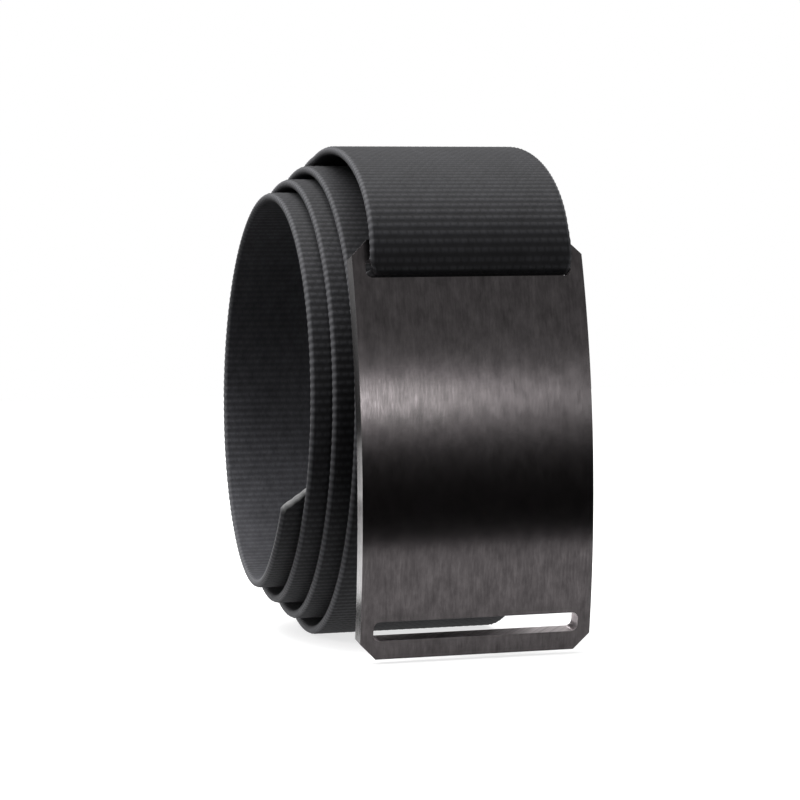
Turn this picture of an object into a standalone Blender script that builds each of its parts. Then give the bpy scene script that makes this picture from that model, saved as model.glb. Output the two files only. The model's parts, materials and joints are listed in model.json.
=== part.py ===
"""A rolled webbing belt with a curved plate buckle, standing on its rolled edge.

Units are metres. X runs across the webbing, the buckle faces -Y and +Z is up.
The belt is laid out round the middle of the buckle's front face, then moved so
that the origin is on the ground, under the middle of its bounding box.
"""

import math

import bmesh
import bpy
from mathutils import Vector, geometry

# Webbing
WEBBING_WIDTH = 0.0378
WEBBING_THICKNESS = 0.0018
TIP_CLIP = 0.0090                # both corners of the free end are cut off at 45 degrees
TIP_STEPS = 4

# Buckle: a flat bar stock plate bent along its length, with a slot near each end
PLATE_WIDTH = 0.0436
PLATE_LENGTH = 0.0758            # measured along the bend
PLATE_THICKNESS = 0.0033
PLATE_BEND_RADIUS = 0.154        # of the front face
PLATE_BANDS = 24                 # facets along the bend
CORNER_CUT = 0.0030
END_BAR = 0.0035                 # material between a slot and the plate's end
SLOT_HEIGHT = 0.0035
SLOT_CORNER_RADIUS = 0.0012
SLOT_CORNER_STEPS = 4
SLOT_SIDE_GAP = 0.0005
EDGE_BREAK = 0.0003

# Coil: distance of the webbing's middle from the coil's centre, halfway along
# its length, in each direction, and how much it grows with each turn outwards
COIL_CENTRE_Y = 0.0526           # behind the plate's front face
COIL_CENTRE_Z = 0.0070           # above the plate's middle
COIL_RADIUS = {"front": 0.0394, "bottom": 0.0390, "back": 0.0557, "top": 0.0442}
COIL_GROWTH = {"front": 0.00235, "bottom": 0.0034, "back": 0.0022, "top": 0.0027}
MIDDLE_TURN = 2.0                # turns from the front of the innermost layer
TIP_CORNER_TURN = 0.096          # where the clipped corners of the free end begin
LOOP_TURN = 3.713                # here the webbing leaves the coil for the buckle
STEPS_PER_TURN = 48

# Sideways position of the webbing's left edge: each turn lies further right,
# and the coil is turned and leans a little
COIL_LEFT = -0.0202
SIDE_STEP = 0.0035
SIDE_YAW = 0.0032
SIDE_LEAN = 0.0012

# Loop over the top of the buckle
LOOP_REACH = 0.0256
LOOP_DROP = 0.0146
LOOP_STEPS = 14

# Fold round the buckle's upper bar and hem behind the plate, in the plate's own
# directions there: back from the bar's axis, and down from it
FOLD_RADIUS = 0.0036
HEM_BEND_RADIUS = 0.00245
HEM_BEND_BACK = 0.00125
HEM_BEND_DOWN = 0.00605
HEM_STITCHED_GAP = 0.0003
HEM_POCKET_GAP = 0.0013
HEM_TURN_DOWN = 0.0139           # centre of the fold at the hem's end
HEM_POCKET_TOP = 0.0103
HEM_POCKET_RAMP = 0.0009
HEM_TAIL_TOP = 0.0067
FOLD_STEPS = 8                   # facets of each fold

# Bar in the hem
RETAINER_THICKNESS = 0.0008
RETAINER_HEIGHT = 0.0034
RETAINER_LENGTH = 0.0368

# Stitching: two rows of thread through both layers of the hem
THREAD_RADIUS = 0.0002
THREAD_GAP = 0.0001
STITCH_ROWS_DOWN = (0.0074, 0.0088)
STITCH_COUNT = 12
STITCH_PITCH = 0.0031
NEEDLE_HOLE_RADIUS = 0.00042

# Shading and mesh clean-up
SMOOTH_UNDER = math.radians(40)  # softer edges than this are shaded smooth
FLAT_WITHIN = 0.01               # radians
WELD_DISTANCE = 1e-6

HALF_WEB = WEBBING_THICKNESS / 2
SLOT_LENGTH = WEBBING_WIDTH + 2 * SLOT_SIDE_GAP


def clear_scene():
    for obj in list(bpy.data.objects):
        bpy.data.objects.remove(obj, do_unlink=True)


def new_collection(name):
    collection = bpy.data.collections.new(name)
    bpy.context.scene.collection.children.link(collection)
    return collection


def make_material(name, colour, roughness, metallic):
    material = bpy.data.materials.new(name)
    material.use_nodes = True
    shader = material.node_tree.nodes["Principled BSDF"]
    shader.inputs["Base Color"].default_value = (*colour, 1.0)
    shader.inputs["Roughness"].default_value = roughness
    shader.inputs["Metallic"].default_value = metallic
    return material


def add_mesh_object(name, bm, collection, material=None, smooth_angle=None):
    mesh = bpy.data.meshes.new(name)
    bm.to_mesh(mesh)
    bm.free()
    if smooth_angle is not None:
        mesh.shade_smooth()
        mesh.set_sharp_from_angle(angle=smooth_angle)
    obj = bpy.data.objects.new(name, mesh)
    collection.objects.link(obj)
    if material is not None:
        mesh.materials.append(material)
    return obj


# --- places on the buckle -------------------------------------------------

def on_plate(along, back=0.0):
    """(y, z) of a point of the plate: along its bend from the middle, and back
    from the front face."""
    angle = along / PLATE_BEND_RADIUS
    radius = PLATE_BEND_RADIUS - back
    return PLATE_BEND_RADIUS - radius * math.cos(angle), radius * math.sin(angle)


BAR_ALONG = (PLATE_LENGTH - END_BAR) / 2
BAR_TILT = BAR_ALONG / PLATE_BEND_RADIUS
AXIS_Y, AXIS_Z = on_plate(BAR_ALONG, PLATE_THICKNESS / 2)


def behind_bar(back, down):
    """(y, z) of a point given back and down from the upper bar's axis, square
    to the plate there."""
    return (
        AXIS_Y + back * math.cos(BAR_TILT) - down * math.sin(BAR_TILT),
        AXIS_Z - back * math.sin(BAR_TILT) - down * math.cos(BAR_TILT),
    )


# --- the webbing's path ---------------------------------------------------

def between_directions(values, turn):
    """A smooth value round the coil from its values at the front, bottom, back
    and top."""
    front, bottom, back, top = (values[key] for key in ("front", "bottom", "back", "top"))
    angle = 2 * math.pi * turn
    mean = (front + bottom + back + top) / 4
    return (
        mean
        + (front - back) / 2 * math.cos(angle)
        + (bottom - top) / 2 * math.sin(angle)
        + (front + back - bottom - top) / 4 * math.cos(2 * angle)
    )


def coil_point(turn):
    """The webbing's left edge, a number of turns after the front of the
    innermost layer, going down in front, back under and up behind."""
    angle = 2 * math.pi * turn
    from_middle = turn - MIDDLE_TURN
    radius = between_directions(COIL_RADIUS, turn) + from_middle * between_directions(COIL_GROWTH, turn)
    return Vector((
        COIL_LEFT + SIDE_STEP * from_middle - SIDE_YAW * math.cos(angle) - SIDE_LEAN * math.sin(angle),
        COIL_CENTRE_Y - radius * math.cos(angle),
        COIL_CENTRE_Z - radius * math.sin(angle),
    ))


def coil_path():
    """The first TIP_STEPS steps are the tip, beyond its clipped corners."""
    corner = coil_point(TIP_CORNER_TURN)
    radius = math.hypot(corner.y - COIL_CENTRE_Y, corner.z - COIL_CENTRE_Z)
    tip = TIP_CLIP / (2 * math.pi * radius)
    turns = [TIP_CORNER_TURN - tip * (1 - i / TIP_STEPS) for i in range(TIP_STEPS)]
    steps = round((LOOP_TURN - TIP_CORNER_TURN) * STEPS_PER_TURN)
    turns += [TIP_CORNER_TURN + (LOOP_TURN - TIP_CORNER_TURN) * i / steps for i in range(steps + 1)]
    return [coil_point(turn) for turn in turns]


def loop_path(start, before_start):
    """From the top of the coil over to the front of the buckle's upper bar."""
    heading = start - before_start
    heading.x = 0
    heading.normalize()
    end = Vector((-WEBBING_WIDTH / 2, AXIS_Y - FOLD_RADIUS, AXIS_Z))
    first_handle = start + heading * LOOP_REACH
    first_handle.x = start.x + (end.x - start.x) / 3
    last_handle = end + Vector((0, 0, LOOP_DROP))
    return geometry.interpolate_bezier(start, first_handle, last_handle, end, LOOP_STEPS + 1)[1:]


def arc(centre_back, centre_down, radius, start, end, steps):
    """(back, down) points of an arc; an angle of 0 is straight back and 90
    degrees straight down."""
    angles = [math.radians(start + (end - start) * i / steps) for i in range(steps + 1)]
    return [(centre_back + radius * math.cos(a), centre_down + radius * math.sin(a)) for a in angles]


FRONT_LAYER_BACK = HEM_BEND_BACK + HEM_BEND_RADIUS
POCKET_LAYER_BACK = FRONT_LAYER_BACK + WEBBING_THICKNESS + HEM_POCKET_GAP
STITCHED_LAYER_BACK = FRONT_LAYER_BACK + WEBBING_THICKNESS + HEM_STITCHED_GAP
HEM_TURN_RADIUS = (POCKET_LAYER_BACK - FRONT_LAYER_BACK) / 2


def hem_path():
    """Under the bar through the slot, down behind the plate, round the hem's
    bar and up again to the webbing's sewn end."""
    places = arc(0, 0, FOLD_RADIUS, 180 - math.degrees(BAR_TILT), 90, FOLD_STEPS)[1:]
    places += arc(HEM_BEND_BACK, HEM_BEND_DOWN, HEM_BEND_RADIUS, -90, 0, FOLD_STEPS)
    places += [(FRONT_LAYER_BACK, HEM_POCKET_TOP)]
    places += arc(FRONT_LAYER_BACK + HEM_TURN_RADIUS, HEM_TURN_DOWN, HEM_TURN_RADIUS, 180, 0, FOLD_STEPS)
    places += [
        (POCKET_LAYER_BACK, HEM_POCKET_TOP),
        (STITCHED_LAYER_BACK, HEM_POCKET_TOP - HEM_POCKET_RAMP),
        (STITCHED_LAYER_BACK, HEM_TAIL_TOP),
    ]
    return [Vector((-WEBBING_WIDTH / 2, *behind_bar(back, down))) for back, down in places]


def webbing_path():
    coil = coil_path()
    return coil + loop_path(coil[-1], coil[-2]) + hem_path()


# --- the pieces -----------------------------------------------------------

def make_strap(collection, material, needle_holes):
    """The webbing, as the ribbon along its path given its thickness."""
    path = webbing_path()
    bm = bmesh.new()
    left = []
    right = []
    for i, point in enumerate(path):
        clip = TIP_CLIP * max(0, 1 - i / TIP_STEPS)
        left.append(bm.verts.new(point + Vector((clip, 0, 0))))
        right.append(bm.verts.new(point + Vector((WEBBING_WIDTH - clip, 0, 0))))
    for i in range(len(path) - 1):
        bm.faces.new((left[i], right[i], right[i + 1], left[i + 1]))
    strap = add_mesh_object("strap", bm, collection, material, SMOOTH_UNDER)
    solidify = strap.modifiers.new("thickness", "SOLIDIFY")
    solidify.thickness = WEBBING_THICKNESS
    solidify.offset = 0.0
    solidify.use_even_offset = True
    holes = strap.modifiers.new("needle_holes", "BOOLEAN")
    holes.object = needle_holes
    return strap


def rounded_slot(middle):
    """The outline of a slot across the plate, with rounded corners."""
    corner_x = SLOT_LENGTH / 2 - SLOT_CORNER_RADIUS
    corner_y = SLOT_HEIGHT / 2 - SLOT_CORNER_RADIUS
    outline = []
    for i, (x, y) in enumerate(((1, 1), (-1, 1), (-1, -1), (1, -1))):
        for step in range(SLOT_CORNER_STEPS + 1):
            angle = math.pi / 2 * (i + step / SLOT_CORNER_STEPS)
            outline.append((
                x * corner_x + SLOT_CORNER_RADIUS * math.cos(angle),
                middle + y * corner_y + SLOT_CORNER_RADIUS * math.sin(angle),
            ))
    return outline


def plate_outline(collection):
    """The flat outline of the buckle with its two slots, as a 2D curve."""
    half_width = PLATE_WIDTH / 2
    half_length = PLATE_LENGTH / 2
    inner_width = half_width - CORNER_CUT
    inner_length = half_length - CORNER_CUT
    corners = [
        (half_width, -inner_length), (half_width, inner_length),
        (inner_width, half_length), (-inner_width, half_length),
        (-half_width, inner_length), (-half_width, -inner_length),
        (-inner_width, -half_length), (inner_width, -half_length),
    ]
    curve = bpy.data.curves.new("plate_outline", "CURVE")
    curve.dimensions = "2D"
    curve.fill_mode = "BOTH"
    curve.extrude = PLATE_THICKNESS / 2
    outlines = [corners]
    for side in (-1, 1):
        middle = side * (half_length - END_BAR - SLOT_HEIGHT / 2)
        outlines.append(rounded_slot(middle))
    for outline in outlines:
        spline = curve.splines.new("POLY")
        spline.points.add(len(outline) - 1)
        for point, (x, y) in zip(spline.points, outline):
            point.co = (x, y, 0, 1)
        spline.use_cyclic_u = True
    outline = bpy.data.objects.new("plate_outline", curve)
    collection.objects.link(outline)
    return outline


def make_buckle(collection, material):
    """The plate: its outline cut into bands, each laid on the bend."""
    outline = plate_outline(collection)
    flat = bpy.data.meshes.new_from_object(outline.evaluated_get(bpy.context.evaluated_depsgraph_get()))
    bpy.data.objects.remove(outline)
    bm = bmesh.new()
    bm.from_mesh(flat)
    bpy.data.meshes.remove(flat)
    bmesh.ops.remove_doubles(bm, verts=bm.verts, dist=WELD_DISTANCE)
    bmesh.ops.dissolve_limit(bm, angle_limit=FLAT_WITHIN, verts=bm.verts, edges=bm.edges)
    for i in range(1, PLATE_BANDS):
        along = PLATE_LENGTH * (i / PLATE_BANDS - 0.5)
        everything = bm.verts[:] + bm.edges[:] + bm.faces[:]
        bmesh.ops.bisect_plane(
            bm, geom=everything, dist=WELD_DISTANCE, plane_co=(0, along, 0), plane_no=(0, 1, 0)
        )
    for vert in bm.verts:
        x, along, height = vert.co
        vert.co = (x, *on_plate(along, PLATE_THICKNESS / 2 - height))
    bmesh.ops.recalc_face_normals(bm, faces=bm.faces)
    plate = add_mesh_object("buckle_plate", bm, collection, material, SMOOTH_UNDER)
    bevel = plate.modifiers.new("edge_break", "BEVEL")
    bevel.width = EDGE_BREAK
    bevel.segments = 1
    bevel.limit_method = "ANGLE"
    bevel.angle_limit = SMOOTH_UNDER
    return plate


def make_retainer(collection, material):
    """The flat bar in the hem's pocket."""
    back = FRONT_LAYER_BACK + HEM_TURN_RADIUS
    down = HEM_TURN_DOWN - RETAINER_HEIGHT / 2
    bm = bmesh.new()
    bmesh.ops.create_cube(bm, size=1.0)
    bmesh.ops.scale(bm, vec=(RETAINER_LENGTH, RETAINER_THICKNESS, RETAINER_HEIGHT), verts=bm.verts)
    retainer = add_mesh_object("retainer_bar", bm, collection, material)
    retainer.location = (0, *behind_bar(back, down))
    retainer.rotation_euler = (-BAR_TILT, 0, 0)
    bevel = retainer.modifiers.new("edge_break", "BEVEL")
    bevel.width = RETAINER_THICKNESS / 4
    bevel.segments = 2
    return retainer


def stitch_places():
    first = -STITCH_PITCH * (STITCH_COUNT - 1) / 2
    return [first + STITCH_PITCH * i for i in range(STITCH_COUNT)]


def make_thread(name, down, collection, material):
    """One row of stitching: along one face of the hem, through both layers,
    along the other face and back."""
    faces = (
        FRONT_LAYER_BACK - HALF_WEB - THREAD_GAP - THREAD_RADIUS,
        STITCHED_LAYER_BACK + HALF_WEB + THREAD_GAP + THREAD_RADIUS,
    )
    points = []
    for i, x in enumerate(stitch_places()):
        for side in (i % 2, (i + 1) % 2):
            points.append((x, *behind_bar(faces[side], down)))
    curve = bpy.data.curves.new(name, "CURVE")
    curve.dimensions = "3D"
    curve.bevel_depth = THREAD_RADIUS
    curve.bevel_resolution = 1
    curve.use_fill_caps = True
    spline = curve.splines.new("POLY")
    spline.points.add(len(points) - 1)
    for point, place in zip(spline.points, points):
        point.co = (*place, 1)
    thread = bpy.data.objects.new(name, curve)
    curve.materials.append(material)
    collection.objects.link(thread)
    return thread


def make_needle_holes(collection):
    """Cutters for the holes that the thread passes through."""
    first = FRONT_LAYER_BACK - 2 * HALF_WEB
    last = STITCHED_LAYER_BACK + 2 * HALF_WEB
    bm = bmesh.new()
    for down in STITCH_ROWS_DOWN:
        for x in stitch_places():
            made = bmesh.ops.create_cone(
                bm, cap_ends=True, segments=8, radius1=NEEDLE_HOLE_RADIUS,
                radius2=NEEDLE_HOLE_RADIUS, depth=last - first,
            )
            bmesh.ops.rotate(bm, verts=made["verts"], matrix=hole_direction())
            bmesh.ops.translate(
                bm, verts=made["verts"], vec=(x, *behind_bar((first + last) / 2, down))
            )
    holes = add_mesh_object("needle_holes", bm, collection)
    holes.hide_render = True
    holes.display_type = "WIRE"
    return holes


def hole_direction():
    """Turns a cylinder from Z to the direction square to the plate at the bar."""
    square = Vector((0, math.cos(BAR_TILT), -math.sin(BAR_TILT)))
    return Vector((0, 0, 1)).rotation_difference(square).to_matrix()


def stand_on_origin(name, pieces, outer_pieces, collection):
    """Hangs the pieces from an empty, and moves it so that the origin is on the
    ground under the middle of the box round the outer pieces."""
    stand = bpy.data.objects.new(name, None)
    collection.objects.link(stand)
    bpy.context.view_layer.update()
    graph = bpy.context.evaluated_depsgraph_get()
    corners = [
        piece.matrix_world @ Vector(corner)
        for piece in outer_pieces
        for corner in piece.evaluated_get(graph).bound_box
    ]
    low = [min(corner[i] for corner in corners) for i in range(3)]
    high = [max(corner[i] for corner in corners) for i in range(3)]
    for piece in pieces:
        if piece.parent is None:
            piece.parent = stand
    stand.location = (-(low[0] + high[0]) / 2, -(low[1] + high[1]) / 2, -low[2])
    return stand


def main():
    clear_scene()
    parts = new_collection("webbing_belt")
    cutters = new_collection("cutters")
    webbing = make_material("black_webbing", (0.030, 0.030, 0.032), 0.85, 0.0)
    gunmetal = make_material("brushed_gunmetal", (0.10, 0.098, 0.097), 0.35, 1.0)
    steel = make_material("steel", (0.55, 0.55, 0.56), 0.35, 1.0)
    thread = make_material("black_thread", (0.035, 0.035, 0.037), 0.7, 0.0)

    needle_holes = make_needle_holes(cutters)
    strap = make_strap(parts, webbing, needle_holes)
    plate = make_buckle(parts, gunmetal)
    retainer = make_retainer(parts, steel)
    threads = [
        make_thread(f"hem_thread_{i + 1}", down, parts, thread)
        for i, down in enumerate(STITCH_ROWS_DOWN)
    ]

    # the buckle swings about the middle of its upper bar
    hinge = bpy.data.objects.new("buckle_hinge", None)
    hinge.location = (0, AXIS_Y, AXIS_Z)
    parts.objects.link(hinge)
    plate.parent = hinge
    plate.location = (0, -AXIS_Y, -AXIS_Z)
    pieces = [strap, plate, retainer, *threads, needle_holes]
    bpy.context.view_layer.update()
    stand = stand_on_origin("stand", pieces, (strap, plate), parts)
    hinge.parent = stand


main()
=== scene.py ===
"""The looks of a rolled webbing belt with a curved plate buckle.

Metres, in the row frame: X runs across the webbing, the buckle faces -Y and +Z
is up. The webbing's route repeats the design's driving dimensions, round the
middle of the buckle's front face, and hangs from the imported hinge.
"""

import json
import math

import bmesh
import bpy
import numpy as np
from mathutils import Matrix, Vector, geometry


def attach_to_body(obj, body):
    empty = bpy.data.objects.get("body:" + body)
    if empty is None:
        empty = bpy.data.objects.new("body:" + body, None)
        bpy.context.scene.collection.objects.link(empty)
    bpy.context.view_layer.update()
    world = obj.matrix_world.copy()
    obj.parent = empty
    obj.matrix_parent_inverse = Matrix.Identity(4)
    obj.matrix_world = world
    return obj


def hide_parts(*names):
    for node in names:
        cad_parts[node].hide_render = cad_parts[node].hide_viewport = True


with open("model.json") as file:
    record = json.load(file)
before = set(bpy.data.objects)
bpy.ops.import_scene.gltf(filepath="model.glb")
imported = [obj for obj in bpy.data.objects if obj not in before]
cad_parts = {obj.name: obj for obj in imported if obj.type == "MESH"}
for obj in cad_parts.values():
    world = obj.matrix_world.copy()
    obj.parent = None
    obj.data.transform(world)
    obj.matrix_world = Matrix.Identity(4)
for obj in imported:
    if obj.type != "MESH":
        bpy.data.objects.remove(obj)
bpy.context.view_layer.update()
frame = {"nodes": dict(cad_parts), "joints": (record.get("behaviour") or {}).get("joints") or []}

# --- driving dimensions of the design ---------------------------------------
WEBBING_WIDTH = 0.0378
WEBBING_THICKNESS = 0.0018
TIP_CLIP = 0.0090
PLATE_WIDTH = 0.0436
PLATE_LENGTH = 0.0758
PLATE_THICKNESS = 0.0033
PLATE_BEND_RADIUS = 0.154
CORNER_CUT = 0.0030
END_BAR = 0.0035
SLOT_HEIGHT = 0.0035
SLOT_LENGTH = 0.0388
SLOT_CORNER_RADIUS = 0.0012

COIL_CENTRE_Y = 0.0526
COIL_CENTRE_Z = 0.0070
COIL_RADIUS = {"front": 0.0394, "bottom": 0.0390, "back": 0.0557, "top": 0.0442}
COIL_GROWTH = {"front": 0.00235, "bottom": 0.0034, "back": 0.0022, "top": 0.0027}
MIDDLE_TURN = 2.0
TIP_CORNER_TURN = 0.096
LOOP_TURN = 3.713
COIL_LEFT = -0.0202
SIDE_STEP = 0.0035
SIDE_YAW = 0.0032
SIDE_LEAN = 0.0012
LOOP_REACH = 0.0256
LOOP_DROP = 0.0146
HEADING_STEP = 1 / 48            # of a turn, back from where the webbing leaves the coil
COIL_STEPS = 1500
LOOP_STEPS = 160
ARC_STEPS = 24

FOLD_RADIUS = 0.0036
HEM_BEND_RADIUS = 0.00245
HEM_BEND_BACK = 0.00125
HEM_BEND_DOWN = 0.00605
HEM_STITCHED_GAP = 0.0003
HEM_POCKET_GAP = 0.0013
HEM_TURN_DOWN = 0.0139
HEM_POCKET_TOP = 0.0103
HEM_POCKET_RAMP = 0.0009
HEM_TAIL_TOP = 0.0067
STITCH_ROWS_DOWN = (0.0074, 0.0088)
STITCH_COUNT = 12
STITCH_PITCH = 0.0031

BAR_ALONG = (PLATE_LENGTH - END_BAR) / 2
BAR_TILT = BAR_ALONG / PLATE_BEND_RADIUS
HALF_WEB = WEBBING_THICKNESS / 2

# --- fine shape of the webbing ----------------------------------------------
CORDS = 24                       # woven cords between the two selvages
SELVAGE_ROUND = 0.00075
ROW_PITCH = 0.00145              # of the weft rows along the webbing
HEM_FINENESS = 1.5               # how much closer the mesh's rows are from the fold on
ROW_RELIEF = 0.000075
CORD_RELIEF = 0.00005
SELVAGE_BUMP = 0.00005
# how soon the selvages' painted highlight comes to full strength over their rounded edges
SELVAGE_PALENESS = 1.3
INNER_COLUMNS = 5
SLOT_PINCH_LEFT = 0.0013         # the slot's round ends draw the edges in
SLOT_PINCH_REACH = 0.0036
SLOT_SPREAD_RIGHT = 0.0004       # and here the webbing spreads to fill it
SLOT_SPREAD_REACH = 0.010
SLOT_SQUARING = 0.7              # how far its rounded rim is squared there
SEAL_BEAD = 0.00012              # how far the melted end stands proud
SEAL_DEPTH = 0.0005
SEAL_THINNEST = 0.12             # of the webbing's thickness, at its very ends


def on_plate(along, back=0.0):
    """(y, z) of a point of the plate, along its bend and back from its front."""
    angle = along / PLATE_BEND_RADIUS
    radius = PLATE_BEND_RADIUS - back
    return PLATE_BEND_RADIUS - radius * math.cos(angle), radius * math.sin(angle)


AXIS_Y, AXIS_Z = on_plate(BAR_ALONG, PLATE_THICKNESS / 2)
HINGE = Vector(frame["joints"][0]["pos_m"])
PLATE_MIDDLE = HINGE - Vector((0, AXIS_Y, AXIS_Z))


def behind_bar(back, down):
    """(y, z) of a point given back and down from the upper bar's axis."""
    return (
        AXIS_Y + back * math.cos(BAR_TILT) - down * math.sin(BAR_TILT),
        AXIS_Z - back * math.sin(BAR_TILT) - down * math.cos(BAR_TILT),
    )


# --- route of the webbing's left edge ---------------------------------------

def between_directions(values, turn):
    front, bottom, back, top = (values[key] for key in ("front", "bottom", "back", "top"))
    angle = 2 * math.pi * turn
    mean = (front + bottom + back + top) / 4
    return (
        mean
        + (front - back) / 2 * math.cos(angle)
        + (bottom - top) / 2 * math.sin(angle)
        + (front + back - bottom - top) / 4 * math.cos(2 * angle)
    )


def coil_point(turn):
    angle = 2 * math.pi * turn
    from_middle = turn - MIDDLE_TURN
    radius = between_directions(COIL_RADIUS, turn) + from_middle * between_directions(COIL_GROWTH, turn)
    return Vector((
        COIL_LEFT + SIDE_STEP * from_middle - SIDE_YAW * math.cos(angle) - SIDE_LEAN * math.sin(angle),
        COIL_CENTRE_Y - radius * math.cos(angle),
        COIL_CENTRE_Z - radius * math.sin(angle),
    ))


def coil_route():
    corner = coil_point(TIP_CORNER_TURN)
    radius = math.hypot(corner.y - COIL_CENTRE_Y, corner.z - COIL_CENTRE_Z)
    first = TIP_CORNER_TURN - TIP_CLIP / (2 * math.pi * radius)
    return [coil_point(turn) for turn in np.linspace(first, LOOP_TURN, COIL_STEPS)]


def loop_route():
    start = coil_point(LOOP_TURN)
    heading = start - coil_point(LOOP_TURN - HEADING_STEP)
    heading.x = 0
    heading.normalize()
    end = Vector((-WEBBING_WIDTH / 2, AXIS_Y - FOLD_RADIUS, AXIS_Z))
    first_handle = start + heading * LOOP_REACH
    first_handle.x = start.x + (end.x - start.x) / 3
    last_handle = end + Vector((0, 0, LOOP_DROP))
    return geometry.interpolate_bezier(start, first_handle, last_handle, end, LOOP_STEPS)[1:]


def arc(centre_back, centre_down, radius, start, end):
    angles = [math.radians(start + (end - start) * i / ARC_STEPS) for i in range(ARC_STEPS + 1)]
    return [(centre_back + radius * math.cos(a), centre_down + radius * math.sin(a)) for a in angles]


FRONT_LAYER = HEM_BEND_BACK + HEM_BEND_RADIUS
POCKET_LAYER = FRONT_LAYER + WEBBING_THICKNESS + HEM_POCKET_GAP
STITCHED_LAYER = FRONT_LAYER + WEBBING_THICKNESS + HEM_STITCHED_GAP
HEM_TURN_RADIUS = (POCKET_LAYER - FRONT_LAYER) / 2


def at_hem(places):
    return [Vector((-WEBBING_WIDTH / 2, *behind_bar(back, down))) for back, down in places]


def fold_route():
    return at_hem(arc(0, 0, FOLD_RADIUS, 180 - math.degrees(BAR_TILT), 90)[1:])


def hem_route():
    places = arc(HEM_BEND_BACK, HEM_BEND_DOWN, HEM_BEND_RADIUS, -90, 0)
    places += arc(FRONT_LAYER + HEM_TURN_RADIUS, HEM_TURN_DOWN, HEM_TURN_RADIUS, 180, 0)
    places += [
        (POCKET_LAYER, HEM_POCKET_TOP),
        (STITCHED_LAYER, HEM_POCKET_TOP - HEM_POCKET_RAMP),
        (STITCHED_LAYER, HEM_TAIL_TOP),
    ]
    return at_hem(places)


def lengths_along(points):
    return np.concatenate([[0], np.cumsum(np.linalg.norm(np.diff(points, axis=0), axis=1))])


def at_lengths(lengths, s, points):
    """The route's points at some lengths along it."""
    return np.stack([np.interp(lengths, s, points[:, i]) for i in range(3)], axis=1)


def webbing_rows():
    """Places s along the webbing, its left edge there, the way it faces, and
    the s of the fold through the slot."""
    before_fold = coil_route() + loop_route() + fold_route()
    points = np.array(before_fold + hem_route())
    fold_at = lengths_along(np.array(before_fold))[-1]
    s = lengths_along(points)
    half_row = ROW_PITCH / 2
    fine_from = half_row * math.floor(fold_at / half_row)
    rows = np.concatenate([
        np.arange(0, fine_from, half_row),
        np.arange(fine_from, s[-1], half_row / HEM_FINENESS),
        [s[-1]],
    ])
    reach = half_row / 2
    ahead = at_lengths(np.minimum(rows + reach, s[-1]), s, points)
    behind = at_lengths(np.maximum(rows - reach, 0), s, points)
    heading = (ahead - behind)[:, 1:]
    heading /= np.linalg.norm(heading, axis=1)[:, None]
    facing = np.stack([np.zeros(len(rows)), heading[:, 1], -heading[:, 0]], axis=1)
    return rows, at_lengths(rows, s, points) + np.array(PLATE_MIDDLE), facing, fold_at


# --- materials ----------------------------------------------------------------

class Nodes:
    """Short names for building a material's or the world's nodes."""

    def __init__(self, tree):
        self.tree = tree

    def add(self, kind, inputs=(), **settings):
        node = self.tree.nodes.new(kind)
        for name, value in settings.items():
            setattr(node, name, value)
        for socket, value in dict(inputs).items():
            self.join(value, node.inputs[socket])
        return node

    def join(self, value, socket):
        if isinstance(value, bpy.types.NodeSocket):
            self.tree.links.new(value, socket)
        else:
            socket.default_value = value

    def maths(self, operation, a, b=0.0, clamp=False):
        return self.add("ShaderNodeMath", {0: a, 1: b}, operation=operation, use_clamp=clamp).outputs[0]

    def ramp(self, value, low, high, to_low=0.0, to_high=1.0):
        node = self.add("ShaderNodeMapRange", {0: value, 1: low, 2: high, 3: to_low, 4: to_high})
        return node.outputs[0]

    def noise(self, vector, scale, detail=2.0, roughness=0.5):
        inputs = {"Vector": vector, "Scale": scale, "Detail": detail, "Roughness": roughness}
        return self.add("ShaderNodeTexNoise", inputs).outputs["Fac"]

    def grain(self, vector, scales, detail=2.0, roughness=0.5):
        """Noise with its own scale along each direction."""
        return self.noise(self.stretch(vector, scales), 1.0, detail, roughness)

    def times(self, *factors):
        product = factors[0]
        for factor in factors[1:]:
            product = self.maths("MULTIPLY", product, factor)
        return product

    def swing(self, noise, amount, reach=0.2):
        """A factor from 1 - amount to 1 + amount, as the noise goes from reach
        below its middle to reach above it."""
        return self.ramp(noise, 0.5 - reach, 0.5 + reach, 1 - amount, 1 + amount)

    def stretch(self, vector, scales):
        return self.add("ShaderNodeVectorMath", {0: vector, 1: scales}, operation="MULTIPLY").outputs[0]

    def mix(self, factor, a, b):
        node = self.add("ShaderNodeMix", data_type="RGBA")
        self.join(factor, node.inputs["Factor"])
        self.join(a, node.inputs["A"])
        self.join(b, node.inputs["B"])
        return node.outputs["Result"]

    def scaled(self, colour, factor):
        node = self.add("ShaderNodeMix", data_type="RGBA", blend_type="MULTIPLY")
        node.inputs["Factor"].default_value = 1.0
        self.join(colour, node.inputs["A"])
        grey = self.add("ShaderNodeCombineColor", {0: factor, 1: factor, 2: factor})
        self.join(grey.outputs[0], node.inputs["B"])
        return node.outputs["Result"]

    def bump(self, height, strength, distance):
        inputs = {"Height": height, "Strength": strength, "Distance": distance}
        return self.add("ShaderNodeBump", inputs).outputs[0]


def new_material(name):
    """A material, its nodes and its shader."""
    material = bpy.data.materials.new(name)
    material.use_nodes = True
    return material, Nodes(material.node_tree), material.node_tree.nodes["Principled BSDF"]


def grey(value, blue=1.0):
    return (value, value, value * blue, 1.0)


WEBBING_GREY = 0.0135
WEBBING_BLUE = 1.12
REVERSE_PAINTED_FILL = 2.7              # how much paler the inner side is painted: painted fill light for the shaded inside of the coil
# Painted highlight along the selvages: its grey, its blue tint and how much of the selvage it covers
SELVAGE_HIGHLIGHT_GREY = 0.09
SELVAGE_HIGHLIGHT_BLUE = 1.07
SELVAGE_HIGHLIGHT_COVER = 0.85
# Painted highlight on the melted end: its grey
SEALED_HIGHLIGHT_GREY = 0.14
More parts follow.
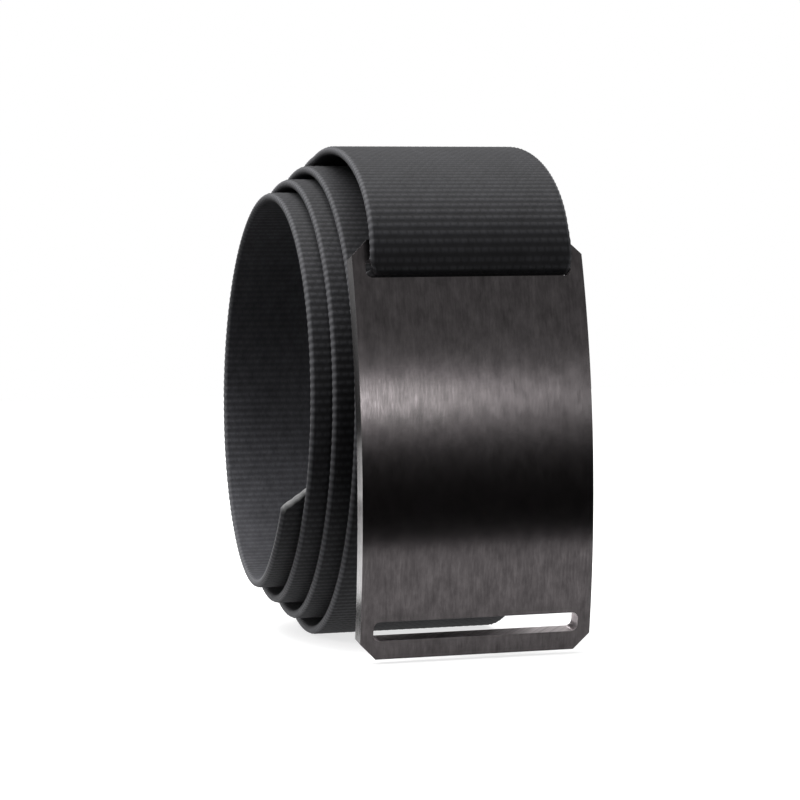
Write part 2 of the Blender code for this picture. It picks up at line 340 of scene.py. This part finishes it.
# Noise scales across and along the weave, in cords and rows
FIBRES = (11.0, 1.6, 1.0)
FUZZ = (6.0, 6.0, 6.0)
WEAR = (0.09, 0.05, 1.0)
UNEVEN = (0.9, 0.35, 1.0)


def webbing_material():
    """Black ribbed polyamide webbing: cords along it, weft rows across it, grooves painted darker and
    crests paler as painted shade and painted highlight, selvages painted pale as a painted highlight, a
    melted end painted grey as a painted highlight, and an inner side painted paler as painted fill
    light."""
    material, nodes, shader = new_material("black_webbing")
    place = nodes.add("ShaderNodeUVMap", uv_map="weave_map").outputs[0]
    cord, row = nodes.add("ShaderNodeSeparateXYZ", {0: place}).outputs[:2]
    stagger = nodes.times(nodes.maths("MODULO", nodes.maths("FLOOR", row), 2.0), 0.5)
    cord_wave = nodes.maths("COSINE", nodes.times(nodes.maths("ADD", cord, stagger), 2 * math.pi))
    row_wave = nodes.maths("COSINE", nodes.times(row, 2 * math.pi))
    cord_top = nodes.ramp(cord_wave, 0.95, 0.3, 0.45, 1.0)
    row_top = nodes.ramp(row_wave, 0.8, -0.9)
    pillow = nodes.times(cord_top, row_top)
    fibres = nodes.grain(place, FIBRES, 3.0, 0.6)
    fuzz = nodes.grain(place, FUZZ, 4.0, 0.7)
    wear = nodes.grain(place, WEAR)
    uneven = nodes.grain(place, UNEVEN, 1.0)
    reverse, selvage, sealed = (
        nodes.add("ShaderNodeAttribute", attribute_name=name).outputs["Fac"]
        for name in ("reverse", "selvage", "sealed")
    )

    # The weave's grooves are painted darker and its crests paler, less so on the inner side: painted
    # shade in the grooves and a painted highlight on the crests
    groove_shade = nodes.ramp(reverse, 0.0, 1.0, 0.6, 0.85)
    crest_highlight = nodes.ramp(reverse, 0.0, 1.0, 1.3, 1.1)
    tone = nodes.times(
        nodes.ramp(pillow, 0.0, 1.0, groove_shade, crest_highlight),
        nodes.swing(fibres, 0.25, 0.25),
        nodes.swing(wear, 0.15),
        nodes.swing(uneven, 0.15),
        # the inner side is painted paler: painted fill light for the shaded inside of the coil
        nodes.ramp(reverse, 0.0, 1.0, 1.0, REVERSE_PAINTED_FILL),
    )
    colour = nodes.scaled(grey(WEBBING_GREY, WEBBING_BLUE), tone)
    # The selvages are painted pale along the weft rows: a painted highlight
    selvage_highlight = nodes.times(selvage, nodes.ramp(row_top, 0.0, 1.0, 0.55, 1.0), SELVAGE_HIGHLIGHT_COVER)
    colour = nodes.mix(selvage_highlight, colour, grey(SELVAGE_HIGHLIGHT_GREY, SELVAGE_HIGHLIGHT_BLUE))
    # The melted end is painted grey: a painted highlight; the lower roughness it gets below is the
    # melt's own gloss
    melted = nodes.maths("MULTIPLY", sealed, nodes.ramp(fuzz, 0.2, 0.6, 0.75, 1.0), clamp=True)
    nodes.join(nodes.mix(melted, colour, grey(SEALED_HIGHLIGHT_GREY)), shader.inputs["Base Color"])

    rough = nodes.ramp(fibres, 0.2, 0.8, 0.62, 0.85)
    rough = nodes.maths("SUBTRACT", rough, nodes.times(melted, 0.3))
    nodes.join(rough, shader.inputs["Roughness"])
    height = nodes.maths("ADD", pillow, nodes.times(fibres, 0.35))
    height = nodes.maths("ADD", height, nodes.times(fuzz, 0.25))
    nodes.join(nodes.bump(height, 0.6, 0.00012), shader.inputs["Normal"])
    shader.inputs["Specular IOR Level"].default_value = 0.12
    shader.inputs["Sheen Weight"].default_value = 0.06
    shader.inputs["Sheen Roughness"].default_value = 0.4
    shader.inputs["Sheen Tint"].default_value = grey(0.55)
    return material


# Tone and roughness of the plate's coating, of its rubbed edges and of the cut
# faces inside its slots
GUNMETALS = {
    "brushed_gunmetal": (0.057, 0.225),
    "rubbed_gunmetal": (0.14, 0.30),
    "cut_gunmetal": (0.55, 0.42),
}
RUBBED_EDGE, CUT_FACE = 1, 2     # their places among the plate's materials
GUNMETAL_TINT = (1.06, 0.965, 0.985)
# Noise scales across and along the plate, per metre
STROKES = (3000.0, 420.0, 1.0)
LONG_STROKES = (1300.0, 110.0, 1.0)
PATCHES = (420.0, 240.0, 1.0)


def gunmetal_material(name, tone, roughness):
    """Dark coated metal, brushed along the plate's length."""
    material, nodes, shader = new_material(name)
    place = nodes.add("ShaderNodeUVMap", uv_map="plate_map").outputs[0]
    strokes = nodes.grain(place, STROKES, 3.0, 0.6)
    long_strokes = nodes.grain(place, LONG_STROKES, 2.0, 0.6)
    patches = nodes.grain(place, PATCHES, 4.0, 0.65)
    both = nodes.maths("ADD", nodes.times(strokes, 0.6), nodes.times(long_strokes, 0.4))
    tint = nodes.times(nodes.swing(both, 0.20, 0.15), nodes.swing(patches, 0.26))
    colour = (*(tone * share for share in GUNMETAL_TINT), 1.0)
    nodes.join(nodes.scaled(colour, tint), shader.inputs["Base Color"])
    rough = nodes.ramp(both, 0.3, 0.7, roughness * 1.15, roughness * 0.85)
    nodes.join(rough, shader.inputs["Roughness"])
    nodes.join(nodes.bump(both, 0.28, 0.00003), shader.inputs["Normal"])
    tangent = nodes.add("ShaderNodeTangent", direction_type="UV_MAP", uv_map="plate_map")
    nodes.join(tangent.outputs[0], shader.inputs["Tangent"])
    shader.inputs["Metallic"].default_value = 1.0
    shader.inputs["Anisotropic"].default_value = 0.75
    return material


STEEL_GREY = 0.52
STEEL_MARKS = (60.0, 4000.0, 4000.0)


def steel_material():
    """Plain rolled strip with lengthwise marks."""
    material, nodes, shader = new_material("rolled_steel")
    place = nodes.add("ShaderNodeTexCoord").outputs["Object"]
    marks = nodes.grain(place, STEEL_MARKS, 3.0, 0.6)
    spots = nodes.noise(place, 700.0, 3.0)
    tone = nodes.times(nodes.ramp(marks, 0.3, 0.7, 0.75, 1.1), nodes.ramp(spots, 0.3, 0.7, 0.9, 1.05))
    nodes.join(nodes.scaled(grey(STEEL_GREY), tone), shader.inputs["Base Color"])
    nodes.join(nodes.ramp(marks, 0.3, 0.7, 0.45, 0.3), shader.inputs["Roughness"])
    nodes.join(nodes.bump(marks, 0.2, 0.00002), shader.inputs["Normal"])
    shader.inputs["Metallic"].default_value = 1.0
    return material


THREAD_GREY = 0.035
THREAD_BLUE = 1.05
THREAD_FIBRES = (40.0, 6000.0, 1.0)


def thread_material():
    """Black bonded thread: fibres run along each ply."""
    material, nodes, shader = new_material("black_thread")
    place = nodes.add("ShaderNodeUVMap", uv_map="thread_map").outputs[0]
    fibres = nodes.grain(place, THREAD_FIBRES, 3.0, 0.6)
    tone = nodes.ramp(fibres, 0.3, 0.7, 0.7, 1.5)
    nodes.join(nodes.scaled(grey(THREAD_GREY, THREAD_BLUE), tone), shader.inputs["Base Color"])
    nodes.join(nodes.ramp(fibres, 0.3, 0.7, 0.75, 0.5), shader.inputs["Roughness"])
    nodes.join(nodes.bump(fibres, 0.4, 0.00003), shader.inputs["Normal"])
    shader.inputs["Sheen Weight"].default_value = 0.2
    return material


# --- meshes ------------------------------------------------------------------

def tube_corners(rows, columns, turned):
    """The (row, column) of each corner of a tube's faces: those between its
    rows, four corners each, then its two ends. Column number columns is the
    first one again, and turned winds every face the other way."""
    grid = np.stack(np.meshgrid(np.arange(rows - 1), np.arange(columns), indexing="ij"), axis=-1)
    steps = ((0, 0), (1, 0), (1, 1), (0, 1))
    if turned:
        steps = steps[:1] + steps[:0:-1]
    sides = np.stack([grid + step for step in steps], axis=2).reshape(-1, 2)
    around = np.arange(columns)[::-1 if turned else 1]
    ends = [(0, column) for column in around] + [(rows - 1, column) for column in around[::-1]]
    return np.concatenate([sides, ends])


def tube_object(name, points, u, v, material, map_name, turned=False):
    """A smooth closed mesh through rows of points round a tube. u and v are the
    points' places in the UV map, with one more column that closes it."""
    rows, columns = points.shape[:2]
    corners = tube_corners(rows, columns, turned)
    index = corners[:, 0] * columns + corners[:, 1] % columns
    sides, ends = index[:-2 * columns], index[-2 * columns:]
    faces = sides.reshape(-1, 4).tolist() + ends.reshape(2, columns).tolist()
    u, v = (np.broadcast_to(grid, (rows, columns + 1)) for grid in (u, v))
    uv = np.stack([grid[corners[:, 0], corners[:, 1]] for grid in (u, v)], axis=1)
    mesh = bpy.data.meshes.new(name)
    mesh.from_pydata(points.reshape(-1, 3).tolist(), [], faces)
    layer = mesh.uv_layers.new(name=map_name)
    layer.data.foreach_set("uv", uv.astype(np.float32).ravel())
    mesh.shade_smooth()
    mesh.materials.append(material)
    obj = bpy.data.objects.new(name, mesh)
    bpy.context.scene.collection.objects.link(obj)
    return obj


def webbing_profile():
    """The closed outline of the webbing's section, from the middle of its left
    edge over its outer face: for each point, how far across between the flat
    faces' ends, how far out past them, its side, and its place in the weave."""
    across, beyond, side, cord = [], [], [], []

    def put(a, b, v, u):
        across.append(a)
        beyond.append(b)
        side.append(v)
        cord.append(u)

    slant = math.sqrt(0.5)
    put(0, 1, 0, -1)
    put(0, slant, slant, -0.5)
    for i in range(2 * CORDS + 1):
        put(i / (2 * CORDS), 0, 1, i / 2)
    put(1, slant, slant, CORDS + 0.5)
    put(1, 1, 0, CORDS + 1)
    put(1, slant, -slant, CORDS + 1.5)
    for i in range(INNER_COLUMNS):
        share = i / (INNER_COLUMNS - 1)
        put(1 - share, 0, -1, CORDS + 2 + CORDS * share)
    put(0, slant, -slant, 2 * CORDS + 2.5)
    return [np.array(values, float) for values in (across, beyond, side, cord)]


def smooth_step(value):
    value = np.clip(value, 0, 1)
    return value * value * (3 - 2 * value)


def webbing_width(s, fold_at):
    """Each row's inset at the left and the width of its flat part, and how far,
    from 0 to 1, it spreads in the slot's right end."""
    from_fold = np.abs(s - fold_at)
    pinch = 1 - smooth_step(from_fold / SLOT_PINCH_REACH)
    spread = 1 - smooth_step(from_fold / SLOT_SPREAD_REACH)
    inset = SLOT_PINCH_LEFT * pinch + np.maximum(0, TIP_CLIP - s)
    flat = WEBBING_WIDTH - 2 * SELVAGE_ROUND - inset + SLOT_SPREAD_RIGHT * spread
    return inset, flat, spread


def webbing_ends(s):
    """How far each row is thinned towards the webbing's ends, and how far the
    melted cut's bead stands proud on it."""
    from_end = np.minimum(s, s[-1] - s)
    inside = np.clip(from_end / SEAL_DEPTH, 0, 1)
    thinned = np.sqrt(np.clip(1 - (1 - inside) ** 2, SEAL_THINNEST, 1))
    past_bead = np.clip(1 - (TIP_CLIP + 2 * SEAL_DEPTH - s) / SEAL_DEPTH, 0, 1)
    return thinned, SEAL_BEAD * (1 - past_bead)


def webbing_relief(s, row_wave, profile):
    """The woven relief of each row and column, below the webbing's faces."""
    _, beyond, side, cord = profile
    cord_wave = np.where((beyond == 0) & (side > 0), -np.cos(2 * math.pi * cord), 0.0)
    every_other = np.where(np.floor(s / ROW_PITCH) % 2 == 0, 1.0, -1.0)
    stagger = every_other * (row_wave + 1) / 2 * (s >= TIP_CLIP)
    cords = stagger[:, None] * cord_wave[None, :] - 1
    return ROW_RELIEF * (row_wave[:, None] - 1) + CORD_RELIEF * cords


def webbing_points(s, edge, facing, fold_at, profile):
    """The webbing's rows of points, with its relief and bumpy selvages."""
    across, beyond, side, _ = profile
    inset, flat, spread = webbing_width(s, fold_at)
    thinned, bead = webbing_ends(s)
    row_wave = -np.cos(2 * math.pi * s / ROW_PITCH)
    rounded = (across == 1) & (beyond > 0) & (beyond < 1)
    squared = SLOT_SQUARING * spread[:, None] * rounded[None, :]
    past = np.where(across > 0.5, 1.0, -1.0)[None, :] * (beyond + squared * (1 - beyond))
    level = side + squared * (np.sign(side) - side)

    out = SELVAGE_ROUND + SELVAGE_BUMP * row_wave
    x = inset[:, None] + SELVAGE_ROUND + flat[:, None] * across[None, :] + out[:, None] * past
    on_face = np.where(np.abs(side) == 1, 1.0, 0.5)
    half = HALF_WEB + on_face[None, :] * webbing_relief(s, row_wave, profile)
    bead = bead[:, None] * (beyond > 0)[None, :]
    height = level * (half + bead) * thinned[:, None]
    points = edge[:, None, :] + facing[:, None, :] * height[:, :, None]
    points[:, :, 0] += x
    return points


def make_strap(material):
    """The webbing, from its melted free end to its folded hem."""
    s, edge, facing, fold_at = webbing_rows()
    profile = webbing_profile()
    _, beyond, side, cord = profile
    points = webbing_points(s, edge, facing, fold_at, profile)
    round_cord = np.append(cord, 2 * CORDS + 3)[None, :]
    row_here = (s / ROW_PITCH)[:, None]
    strap = tube_object("strap_webbing", points, round_cord, row_here, material, "weave_map")

    clipped = s < TIP_CLIP
    # at_edge: the rounded selvages, where their painted highlight goes
    at_edge = np.clip(beyond * SELVAGE_PALENESS, 0, 1)[None, :] * ~clipped[:, None]
    # at_cut: the melted end, glossier and painted grey as a painted highlight
    at_cut = np.clip(1 - s / (3 * SEAL_DEPTH), 0, 1)[:, None] + clipped[:, None] * (beyond > 0)[None, :]
    everywhere = np.ones(points.shape[:2])
    put_attribute(strap, "selvage", at_edge)
    # reverse marks the inner side, which gets the painted fill light
    put_attribute(strap, "reverse", everywhere * (side < 0)[None, :])
    put_attribute(strap, "sealed", np.clip(at_cut, 0, 1) * everywhere)
    return strap


def put_attribute(obj, name, values):
    attribute = obj.data.attributes.new(name, "FLOAT", "POINT")
    attribute.data.foreach_set("value", np.asarray(values, np.float32).ravel())


SLOT_STEPS = 8


def rounded_slot(middle):
    """The outline of a slot across the plate."""
    corner_x = SLOT_LENGTH / 2 - SLOT_CORNER_RADIUS
    corner_y = SLOT_HEIGHT / 2 - SLOT_CORNER_RADIUS
    outline = []
    for i, (x, y) in enumerate(((1, 1), (-1, 1), (-1, -1), (1, -1))):
        for step in range(SLOT_STEPS + 1):
            angle = math.pi / 2 * (i + step / SLOT_STEPS)
            outline.append((
                x * corner_x + SLOT_CORNER_RADIUS * math.cos(angle),
                middle + y * corner_y + SLOT_CORNER_RADIUS * math.sin(angle),
            ))
    return outline


def filled_outlines(name, outlines, half_thickness=0.0):
    """A mesh of the first outline with the others as holes in it."""
    curve = bpy.data.curves.new(name, "CURVE")
    curve.dimensions = "2D"
    curve.fill_mode = "BOTH"
    curve.extrude = half_thickness
    for outline in outlines:
        spline = curve.splines.new("POLY")
        spline.points.add(len(outline) - 1)
        for point, (x, y) in zip(spline.points, outline):
            point.co = (x, y, 0, 1)
        spline.use_cyclic_u = True
    obj = bpy.data.objects.new(name, curve)
    bpy.context.scene.collection.objects.link(obj)
    mesh = bpy.data.meshes.new_from_object(obj.evaluated_get(bpy.context.evaluated_depsgraph_get()))
    bpy.data.objects.remove(obj)
    return mesh


def plate_outline():
    """The flat plate with its clipped corners and two slots, as a mesh."""
    half_width, half_length = PLATE_WIDTH / 2, PLATE_LENGTH / 2
    inner_width, inner_length = half_width - CORNER_CUT, half_length - CORNER_CUT
    corners = [
        (half_width, -inner_length), (half_width, inner_length),
        (inner_width, half_length), (-inner_width, half_length),
        (-half_width, inner_length), (-half_width, -inner_length),
        (-inner_width, -half_length), (inner_width, -half_length),
    ]
    slot_middle = half_length - END_BAR - SLOT_HEIGHT / 2
    outlines = (corners, rounded_slot(slot_middle), rounded_slot(-slot_middle))
    return filled_outlines("plate_outline", outlines, PLATE_THICKNESS / 2)


PLATE_BANDS = 96
PLATE_EDGE = 0.00035
BEVEL_SEGMENTS = 3
SHARP_ANGLE = math.radians(35)
FLAT_ANGLE = 0.01                # radians
WELD_DISTANCE = 1e-6


def in_slot(x, along):
    return abs(x) < SLOT_LENGTH / 2 + PLATE_EDGE and abs(along) < PLATE_LENGTH / 2 - END_BAR / 2


def banded_plate():
    """The flat plate cut across into narrow bands, as a bmesh."""
    flat = plate_outline()
    bm = bmesh.new()
    bm.from_mesh(flat)
    bpy.data.meshes.remove(flat)
    bmesh.ops.remove_doubles(bm, verts=bm.verts, dist=WELD_DISTANCE)
    bmesh.ops.dissolve_limit(bm, angle_limit=FLAT_ANGLE, verts=bm.verts, edges=bm.edges)
    for i in range(1, PLATE_BANDS):
        along = PLATE_LENGTH * (i / PLATE_BANDS - 0.5)
        everything = bm.verts[:] + bm.edges[:] + bm.faces[:]
        bmesh.ops.bisect_plane(
            bm, geom=everything, dist=WELD_DISTANCE, plane_co=(0, along, 0), plane_no=(0, 1, 0)
        )
    return bm


def make_plate(materials):
    """The buckle plate, laid on its bend, with rounded edges where the coating
    is rubbed."""
    bm = banded_plate()
    layer = bm.loops.layers.uv.new("plate_map")
    for face in bm.faces:
        for loop in face.loops:
            x, along, height = loop.vert.co
            loop[layer].uv = (x + height, along)
    bm.normal_update()
    for face in bm.faces:
        middle = face.calc_center_median()
        if abs(face.normal.z) < 0.5 and in_slot(middle.x, middle.y):
            face.material_index = CUT_FACE
    for vert in bm.verts:
        x, along, height = vert.co
        vert.co = PLATE_MIDDLE + Vector((x, *on_plate(along, PLATE_THICKNESS / 2 - height)))
    bmesh.ops.recalc_face_normals(bm, faces=bm.faces)
    mesh = bpy.data.meshes.new("plate")
    bm.to_mesh(mesh)
    bm.free()
    mesh.shade_smooth()
    mesh.set_sharp_from_angle(angle=SHARP_ANGLE)
    for material in materials:
        mesh.materials.append(material)
    plate = bpy.data.objects.new("plate_brushed", mesh)
    bpy.context.scene.collection.objects.link(plate)
    bevel = plate.modifiers.new("rounded_edges", "BEVEL")
    bevel.width = PLATE_EDGE
    bevel.segments = BEVEL_SEGMENTS
    bevel.limit_method = "ANGLE"
    bevel.angle_limit = SHARP_ANGLE
    bevel.harden_normals = True
    bevel.material = RUBBED_EDGE
    return plate


RETAINER_EDGE = 0.00018
THREAD_RADIUS = 0.0002
THREAD_GAP = 0.0001
THREAD_PLIES = 3
THREAD_SIDES = 12
THREAD_LAY = 0.0011              # length of one full twist
THREAD_STEP = 0.00016
THREAD_VALLEY = 0.72             # of its radius, between two plies
THREAD_CORNER = 0.00045
THREAD_CORNER_STEPS = 5


def stitch_route(down):
    """Points of one row of stitching, through both layers of the hem."""
    faces = (
        FRONT_LAYER - HALF_WEB - THREAD_GAP - THREAD_RADIUS,
        STITCHED_LAYER + HALF_WEB + THREAD_GAP + THREAD_RADIUS,
    )
    first = -STITCH_PITCH * (STITCH_COUNT - 1) / 2
    points = []
    for i in range(STITCH_COUNT):
        for back in (faces[i % 2], faces[(i + 1) % 2]):
            points.append(PLATE_MIDDLE + Vector((first + STITCH_PITCH * i, *behind_bar(back, down))))
    return points


def rounded_route(points):
    """The same route with each corner replaced by a small curve."""
    route = [points[0]]
    for before, corner, after in zip(points, points[1:], points[2:]):
        start = corner + (before - corner).normalized() * THREAD_CORNER
        end = corner + (after - corner).normalized() * THREAD_CORNER
        for i in range(THREAD_CORNER_STEPS + 1):
            t = i / THREAD_CORNER_STEPS
            route.append(start * (1 - t) ** 2 + corner * 2 * t * (1 - t) + end * t ** 2)
    return route + [points[-1]]


def make_thread(name, down, material):
    """A row of stitches in three-ply thread, its plies twisted in the mesh."""
    route = np.array(rounded_route(stitch_route(down)))
    lengths = lengths_along(route)
    s = np.arange(0, lengths[-1], THREAD_STEP)
    centre = at_lengths(s, lengths, route)
    heading = np.gradient(centre, axis=0)
    heading /= np.linalg.norm(heading, axis=1)[:, None]
    down_plate = np.array(Vector((0, *behind_bar(0, 1))) - Vector((0, AXIS_Y, AXIS_Z)))
    first_side = np.broadcast_to(down_plate / np.linalg.norm(down_plate), heading.shape)
    second_side = np.cross(heading, first_side)
    second_side /= np.linalg.norm(second_side, axis=1)[:, None]
    closed_round = 2 * math.pi * np.arange(THREAD_SIDES + 1) / THREAD_SIDES
    angles = closed_round[:-1]
    twist = 2 * math.pi * s / THREAD_LAY
    lobes = np.abs(np.cos(THREAD_PLIES / 2 * (angles[None, :] - twist[:, None])))
    radius = THREAD_RADIUS * (THREAD_VALLEY + (1 - THREAD_VALLEY) * lobes)
    points = (
        centre[:, None, :]
        + first_side[:, None, :] * (radius * np.cos(angles))[:, :, None]
        + second_side[:, None, :] * (radius * np.sin(angles))[:, :, None]
    )
    girth = THREAD_RADIUS * closed_round[None, :]
    return tube_object(name, points, s[:, None], girth, material, "thread_map", turned=True)


# --- stage, light and camera ---------------------------------------------------

FLOOR_RADIUS = 4.0
FLOOR_SIDES = 96
FLOOR_HEIGHT = -0.0002
FLOOR_GREYS = (0.36, 0.39)
FLAG_GREY = 0.004
FLAG_HEIGHT = 0.0004
FLAG_REACH = 3.0
FLOOR_GLOW = (0.72, 1.0)         # near the belt and far from it
GLOW_REACH = (0.1, 0.6)
# The floor left white: under the belt, and where the plate mirrors it
WHITE_FLOOR = (
    (0.035, 0.062), (-0.035, 0.062), (-0.035, -0.058), (-0.020, -0.060),
    (-0.020, -0.121), (0.075, -0.121), (0.075, -0.060), (0.035, -0.058),
)


def floor_material():
    """Matt white that glows a little, and more further from the belt."""
    material, nodes, shader = new_material("white_floor")
    place = nodes.add("ShaderNodeTexCoord").outputs["Object"]
    grain = nodes.noise(place, 40.0)
    dark, pale = FLOOR_GREYS
    nodes.join(nodes.mix(grain, grey(dark), grey(pale)), shader.inputs["Base Color"])
    from_belt = nodes.add("ShaderNodeVectorMath", {0: place}, operation="LENGTH").outputs["Value"]
    glow = nodes.ramp(from_belt, *GLOW_REACH, *FLOOR_GLOW)
    nodes.join(glow, shader.inputs["Emission Strength"])
    shader.inputs["Emission Color"].default_value = grey(1.0)
    shader.inputs["Roughness"].default_value = 0.9
    shader.inputs["Specular IOR Level"].default_value = 0.0
    return material


def make_floor():
    bm = bmesh.new()
    bmesh.ops.create_circle(bm, cap_ends=True, radius=FLOOR_RADIUS, segments=FLOOR_SIDES)
    mesh = bpy.data.meshes.new("floor")
    bm.to_mesh(mesh)
    bm.free()
    mesh.materials.append(floor_material())
    disc = bpy.data.objects.new("floor", mesh)
    disc.location.z = FLOOR_HEIGHT
    bpy.context.scene.collection.objects.link(disc)


def black_cloth():
    """Black from above or in front, clear from the other side."""
    material = bpy.data.materials.new("black_cloth")
    material.use_nodes = True
    material.node_tree.nodes.clear()
    nodes = Nodes(material.node_tree)
    dark = nodes.add("ShaderNodeBsdfDiffuse", {"Color": grey(FLAG_GREY)}).outputs[0]
    clear = nodes.add("ShaderNodeBsdfTransparent").outputs[0]
    from_behind = nodes.add("ShaderNodeNewGeometry").outputs["Backfacing"]
    both = nodes.add("ShaderNodeMixShader", {0: from_behind, 1: dark, 2: clear}).outputs[0]
    nodes.add("ShaderNodeOutputMaterial", {"Surface": both})
    return material


def make_flag():
    """Black cloth on the floor that only the belt sees, so that it mirrors less
    glare. The floor shows white under the belt and where the plate mirrors it."""
    square = [(x * FLAG_REACH, y * FLAG_REACH) for x, y in ((1, 1), (-1, 1), (-1, -1), (1, -1))]
    mesh = filled_outlines("floor_flag", (square, WHITE_FLOOR))
    mesh.materials.append(black_cloth())
    flag = bpy.data.objects.new("floor_flag", mesh)
    flag.location.z = FLAG_HEIGHT
    flag.visible_camera = False
    flag.visible_shadow = False
    bpy.context.scene.collection.objects.link(flag)


BELT_MIDDLE = Vector((0, 0, 0.04))
# Where each light is, what it faces, its width and height, and its watts
LIGHTS = {
    "top_softbox": ((-0.10, 0.10, 0.85), BELT_MIDDLE, (0.75, 0.75), 15.0),
    "left_softbox": ((-0.60, -0.12, 0.80), BELT_MIDDLE, (0.5, 0.5), 6.0),
    "front_strip": (PLATE_MIDDLE + Vector((0.085, -0.86, 0.097)), PLATE_MIDDLE, (0.24, 0.068), 1.32),
    "side_card": ((-0.062, 0.062, 0.018), (-0.02, -0.055, 0.018), (0.06, 0.036), 0.022),
}


def area_light(name, place, target, size, watts):
    light = bpy.data.lights.new(name, "AREA")
    light.shape = "RECTANGLE"
    light.size, light.size_y = size
    light.energy = watts
    obj = bpy.data.objects.new(name, light)
    obj.location = place
    obj.rotation_euler = (Vector(target) - Vector(place)).to_track_quat("-Z", "Y").to_euler()
    obj.visible_camera = False
    bpy.context.scene.collection.objects.link(obj)


WORLD_LIGHT = 0.62


def make_world():
    """White behind the belt, and a dimmer even light on it."""
    world = bpy.data.worlds.new("studio")
    bpy.context.scene.world = world
    world.use_nodes = True
    world.node_tree.nodes.clear()
    nodes = Nodes(world.node_tree)
    seen = nodes.add("ShaderNodeLightPath").outputs["Is Camera Ray"]
    strength = nodes.ramp(seen, 0.0, 1.0, WORLD_LIGHT, 1.0)
    background = nodes.add("ShaderNodeBackground", {"Color": grey(1.0), "Strength": strength})
    nodes.add("ShaderNodeOutputWorld", {"Surface": background.outputs[0]})


# Where the belt is seen from, about the middle of the plate's front face
CAMERA_AZIMUTH = math.radians(-16.84)
CAMERA_ELEVATION = math.radians(0.83)
CAMERA_ROLL = math.radians(-1.23)
CAMERA_DISTANCE = 0.4726
CAMERA_TARGET = Vector((-0.01458, 0.0, 0.00886))
CAMERA_LENS = 120.0
CAMERA_SENSOR = 36.0
CAMERA_NEAR, CAMERA_FAR = 0.01, 20.0


def make_camera():
    back = Vector((
        math.sin(CAMERA_AZIMUTH) * math.cos(CAMERA_ELEVATION),
        -math.cos(CAMERA_AZIMUTH) * math.cos(CAMERA_ELEVATION),
        math.sin(CAMERA_ELEVATION),
    ))
    right = Vector((math.cos(CAMERA_AZIMUTH), math.sin(CAMERA_AZIMUTH), 0))
    up = back.cross(right)
    c, s = math.cos(CAMERA_ROLL), math.sin(CAMERA_ROLL)
    right, up = c * right + s * up, c * up - s * right
    camera = bpy.data.objects.new("camera", bpy.data.cameras.new("camera"))
    camera.data.lens = CAMERA_LENS
    camera.data.sensor_width = CAMERA_SENSOR
    camera.data.clip_start = CAMERA_NEAR
    camera.data.clip_end = CAMERA_FAR
    place = PLATE_MIDDLE + CAMERA_TARGET + back * CAMERA_DISTANCE
    turn = Matrix((right, up, back)).transposed().to_4x4()
    camera.matrix_world = Matrix.Translation(place) @ turn
    bpy.context.scene.collection.objects.link(camera)
    bpy.context.scene.camera = camera


# --- build -----------------------------------------------------------------------

def attach(piece, body, nodes):
    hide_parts(nodes)
    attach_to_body(piece, body)


make_camera()
make_world()
for light_name, settings in LIGHTS.items():
    area_light(light_name, *settings)
make_floor()
make_flag()

strap = make_strap(webbing_material())
attach(strap, "strap", "strap")

plate = make_plate([gunmetal_material(name, *looks) for name, looks in GUNMETALS.items()])
attach(plate, "buckle", "buckle_plate")

thread = thread_material()
for number, down in enumerate(STITCH_ROWS_DOWN, 1):
    row = make_thread(f"stitch_row_{number}", down, thread)
    attach(row, "strap", f"hem_thread_{number}")

retainer = frame["nodes"]["retainer_bar"]
retainer.data.materials.clear()
retainer.data.materials.append(steel_material())
rolled = retainer.modifiers.new("rolled_edges", "BEVEL")
rolled.width = RETAINER_EDGE
rolled.segments = BEVEL_SEGMENTS

bpy.context.scene.view_settings.view_transform = "Standard"
bpy.context.scene.view_settings.look = "None"
